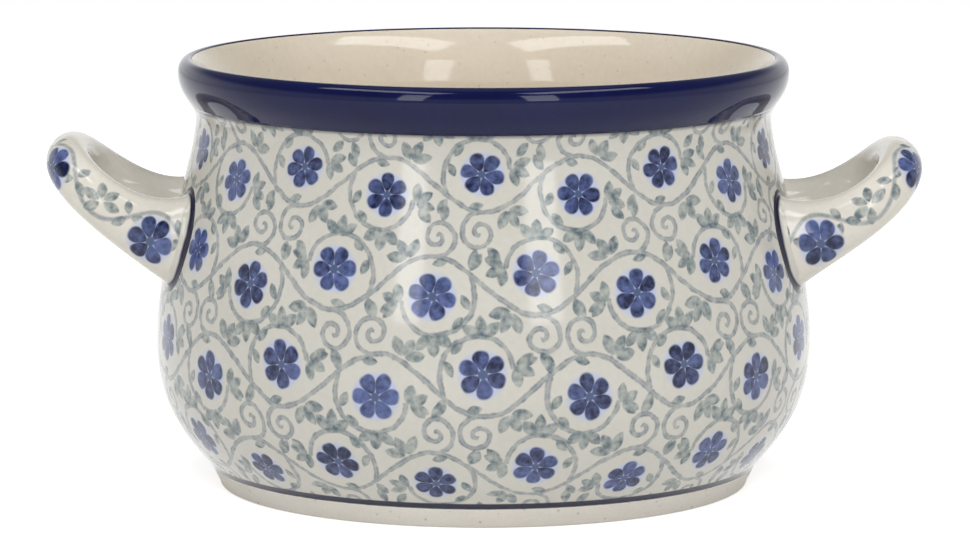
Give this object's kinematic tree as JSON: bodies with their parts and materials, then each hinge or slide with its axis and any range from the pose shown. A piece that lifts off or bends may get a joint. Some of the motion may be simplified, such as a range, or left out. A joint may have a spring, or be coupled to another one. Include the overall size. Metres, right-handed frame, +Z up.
{
  "type": "soup bowl",
  "caption": "Deep round stoneware soup bowl with a waisted neck, a rolled rim dipped in dark cobalt glaze and upswept strap handles at both sides.",
  "frame": {"origin": "on the table, under the middle of the bowl", "axes": "+X through the right handle, +Y away from the viewer, +Z up along the axis that the bowl is turned about"},
  "size_m": [0.187, 0.14, 0.0914],
  "materials": {
    "glazed_stoneware": "cream stoneware under a glossy clear glaze, painted outside in blue and grey-green; the standing ring is bare",
    "cobalt_glaze": "thick glossy dark cobalt glaze",
    "fired_slip": "fired clay slip under the same clear glaze"
  },
  "bodies": {
    "root": {"bowl_body": "glazed_stoneware", "rim_glaze": "cobalt_glaze", "handle_left": "glazed_stoneware", "handle_right": "glazed_stoneware", "slip_left_front": "fired_slip", "slip_left_rear": "fired_slip", "slip_right_front": "fired_slip", "slip_right_rear": "fired_slip"}
  },
  "joints": []
}
